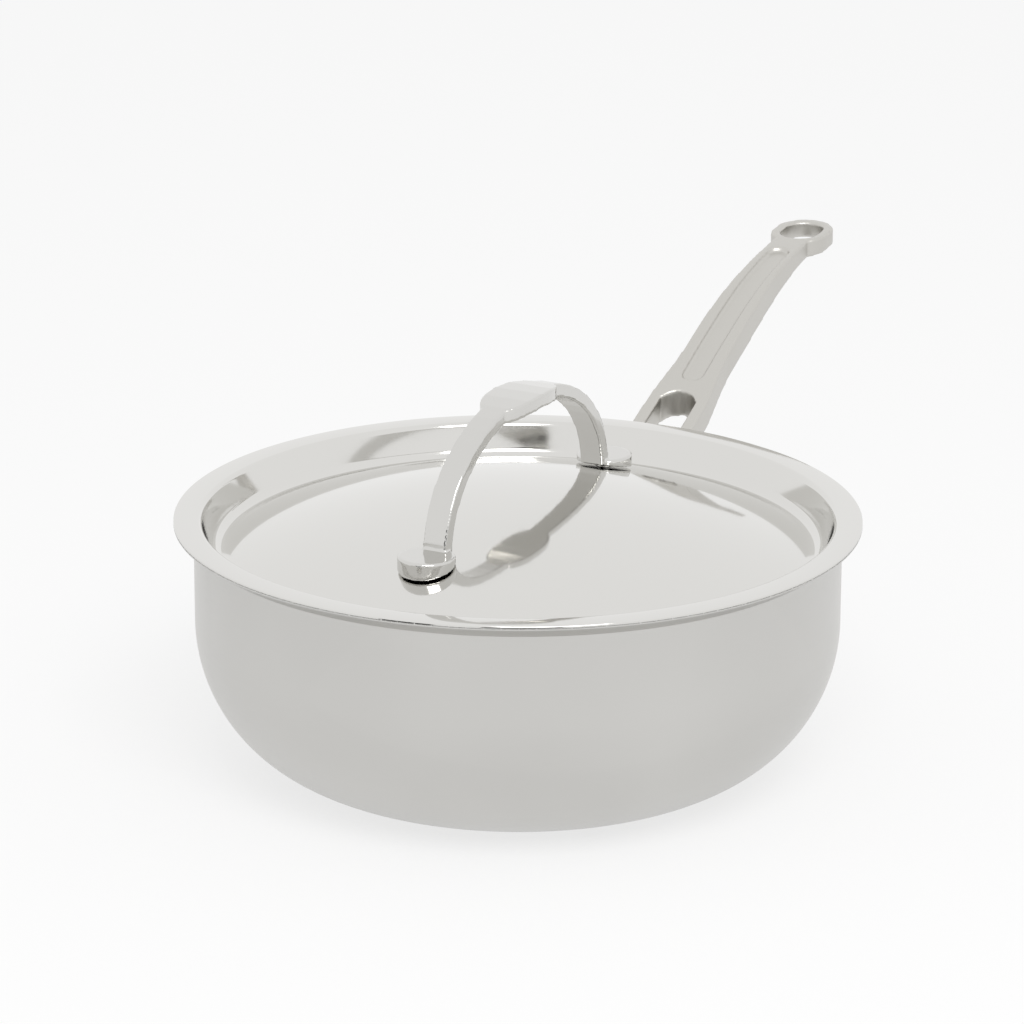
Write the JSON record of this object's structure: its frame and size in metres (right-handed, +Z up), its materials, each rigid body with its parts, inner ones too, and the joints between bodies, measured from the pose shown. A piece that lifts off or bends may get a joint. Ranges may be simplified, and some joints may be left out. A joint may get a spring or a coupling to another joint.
{
  "type": "saucier pan",
  "caption": "Rounded clad steel saucier pan with a cast fork handle and a polished lid with an arch handle.",
  "frame": {"origin": "centre of the base's flat underside", "axes": "+Z up out of the pan, +X along the long handle, away from the pan"},
  "size_m": [0.441, 0.266, 0.1511],
  "materials": {
    "brushed_steel": "satin",
    "polished_steel": "polished",
    "cast_steel": "satin",
    "aluminium_core": "matte"
  },
  "bodies": {
    "pan": {"pan_outer_skin": "brushed_steel", "aluminium_core": "aluminium_core", "pan_inner_liner": "polished_steel", "long_handle": "cast_steel", "handle_rivets": "polished_steel"},
    "lid": {"lid_shell": "polished_steel", "lid_handle": "polished_steel", "lid_rivets": "polished_steel"}
  },
  "joints": [
    {"name": "lid_lift", "type": "slide", "parent": "pan", "child": "lid", "axis": [0, 0, 1], "range_m": [0, 0.1]}
  ]
}
